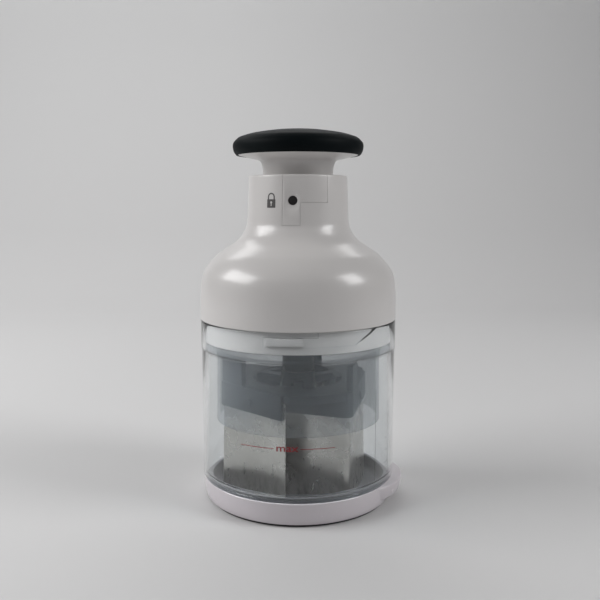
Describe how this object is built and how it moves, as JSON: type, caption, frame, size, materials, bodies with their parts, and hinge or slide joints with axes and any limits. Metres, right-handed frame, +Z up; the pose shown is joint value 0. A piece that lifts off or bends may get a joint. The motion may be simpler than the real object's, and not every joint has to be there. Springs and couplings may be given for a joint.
{
  "type": "vegetable chopper",
  "caption": "Push-down vegetable chopper: clear cup on a white base, twist-lock housing with a sprung plunger that drives a bent-blade rotor through helical grooves.",
  "frame": {"origin": "on the chopper's axis, at the underside of the foot that stands on the table", "axes": "+Z up along the plunger's axis; the front with the lock button faces -Y; the base's lifting lip points to +X"},
  "size_m": [0.1005, 0.096, 0.1805],
  "materials": {
    "white_gloss": "gloss",
    "base_white": "satin",
    "pad_rubber": "soft matt",
    "foot_rubber": "matt",
    "mat_grey": "matt",
    "seal_dark": "matt",
    "clear_cup": "clear gloss",
    "smoky_guard": "hazy",
    "carrier_slate": "satin",
    "blade_steel": "brushed",
    "bright_steel": "plated",
    "nylon": "matt",
    "button_black": "satin"
  },
  "bodies": {
    "base": {"nonslip_foot": "foot_rubber", "base_cap": "base_white", "base_mat": "mat_grey", "cup_seal": "seal_dark"},
    "cup_body": {"cup": "clear_cup", "blade_guard": "smoky_guard"},
    "housing": {"lock_collar": "white_gloss", "upper_housing": "white_gloss", "neck_panel": "white_gloss", "core_plate": "nylon", "core_screw_1": "bright_steel", "core_screw_2": "bright_steel", "core_screw_3": "bright_steel", "drive_pin_1": "bright_steel", "drive_pin_2": "bright_steel", "drive_pin_3": "bright_steel", "neck_bush": "white_gloss", "return_spring": "bright_steel"},
    "button": {"lock_button": "button_black", "button_spring": "bright_steel"},
    "plunger": {"plunger_sleeve": "white_gloss", "knob_plate": "nylon", "knob_screw_1": "bright_steel", "knob_screw_2": "bright_steel", "knob_screw_3": "bright_steel", "knob_screw_4": "bright_steel", "knob_pad": "pad_rubber", "shaft_bearing": "nylon"},
    "rotor": {"drive_shaft": "carrier_slate", "shaft_screw": "bright_steel", "carrier_screw": "bright_steel", "blade_carrier": "carrier_slate", "blade_1": "blade_steel", "blade_2": "blade_steel", "blade_3": "blade_steel", "blade_rivet_1": "carrier_slate", "blade_rivet_2": "carrier_slate", "blade_rivet_3": "carrier_slate", "blade_rivet_4": "carrier_slate", "blade_rivet_5": "carrier_slate", "blade_rivet_6": "carrier_slate"}
  },
  "joints": [
    {"name": "cup_lift", "type": "slide", "parent": "base", "child": "cup_body", "axis": [0, 0, 1], "range_m": [0, 0.03]},
    {"name": "housing_twist", "type": "hinge", "parent": "cup_body", "child": "housing", "pos_m": [0, 0, 0.0849], "axis": [0, 0, 1], "range_deg": [0, 30]},
    {"name": "plunger_push", "type": "slide", "parent": "housing", "child": "plunger", "axis": [0, 0, 1], "range_m": [0, 0.035], "deforming": ["return_spring"]},
    {"name": "rotor_turn", "type": "hinge", "parent": "plunger", "child": "rotor", "pos_m": [0, 0, 0.17], "axis": [0, 0, 1], "range_deg": [0, 60]},
    {"name": "button_press", "type": "slide", "parent": "housing", "child": "button", "axis": [0, 1, 0], "range_m": [0, 0.0012], "stiffness_N_per_m": 400, "springref_m": -0.001}
  ],
  "couplings": [
    {"joint": "rotor_turn", "follows": "plunger_push", "rad_per_m": 29.92}
  ]
}
